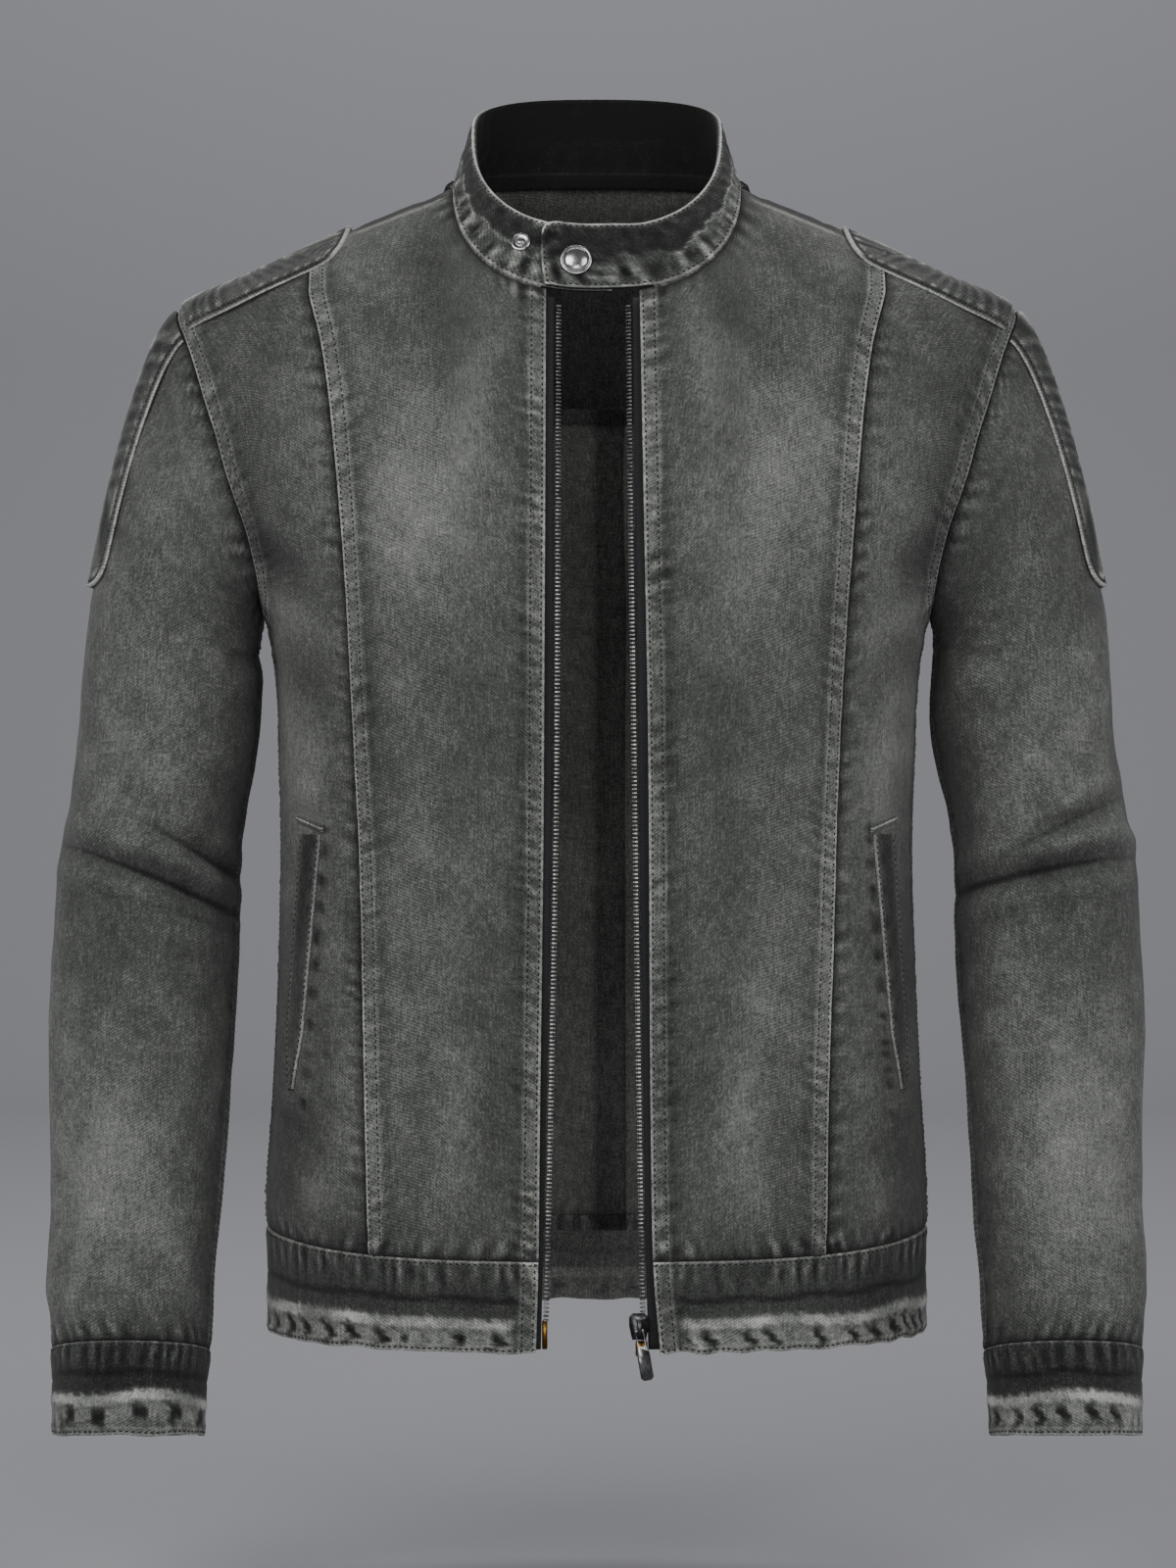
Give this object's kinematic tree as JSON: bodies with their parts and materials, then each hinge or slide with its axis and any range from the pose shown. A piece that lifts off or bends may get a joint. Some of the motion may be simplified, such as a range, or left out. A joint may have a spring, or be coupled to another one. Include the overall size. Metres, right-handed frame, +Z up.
{
  "type": "denim jacket",
  "caption": "Hollow zip-front denim jacket with a stand collar and snap tab, princess seams, welt pockets, shoulder patches, cuffs and a hem band, filled out as if worn.",
  "frame": {"origin": "centre of the neck opening at the height of the inner ends of the shoulder seams, where the wearer's shoulders hold the jacket", "axes": "+Z up, the front faces -Y, +X towards the wearer's left"},
  "size_m": [0.6192, 0.254, 0.7744],
  "materials": {
    "denim": "washed charcoal twill, matte, paler on worn fold edges",
    "dark_denim": "doubled washed twill, puckered and mottled dark and pale",
    "zip_tape": "woven black polyester tape",
    "black_metal": "black oxide, satin, rubbed bright on edges",
    "nickel": "polished nickel plate",
    "brass": "antique brass, satin"
  },
  "bodies": {
    "jacket": {"front_left": "denim", "front_side_left": "denim", "front_right": "denim", "front_side_right": "denim", "back_yoke": "denim", "back_left": "denim", "back_right": "denim", "hem_band_front_left": "dark_denim", "hem_band_front_right": "dark_denim", "hem_band_back": "dark_denim", "collar": "dark_denim", "sleeve_top_left": "denim", "sleeve_forearm_left": "denim", "sleeve_under_left": "denim", "cuff_left": "dark_denim", "sleeve_top_right": "denim", "sleeve_forearm_right": "denim", "sleeve_under_right": "denim", "cuff_right": "dark_denim", "shoulder_patch_left": "dark_denim", "sleeve_patch_left": "dark_denim", "shoulder_patch_right": "dark_denim", "sleeve_patch_right": "dark_denim", "pocket_welt_left": "dark_denim", "pocket_bar_left": "denim", "pocket_welt_right": "dark_denim", "pocket_bar_right": "denim", "zip_tape_left": "zip_tape", "zip_teeth_left": "black_metal", "zip_tape_right": "zip_tape", "zip_teeth_right": "black_metal", "zip_slider": "black_metal", "zip_box": "brass", "zip_pin": "brass", "snap_cap": "nickel", "snap_stud": "nickel"},
    "pull_tab": {"zip_pull": "nickel"}
  },
  "joints": [
    {"name": "pull_tab_hinge", "type": "hinge", "parent": "jacket", "child": "pull_tab", "pos_m": [0.02281, -0.12555, -0.63847], "axis": [-0.9842, -0.0362, -0.1735], "range_deg": [0, 120]}
  ]
}
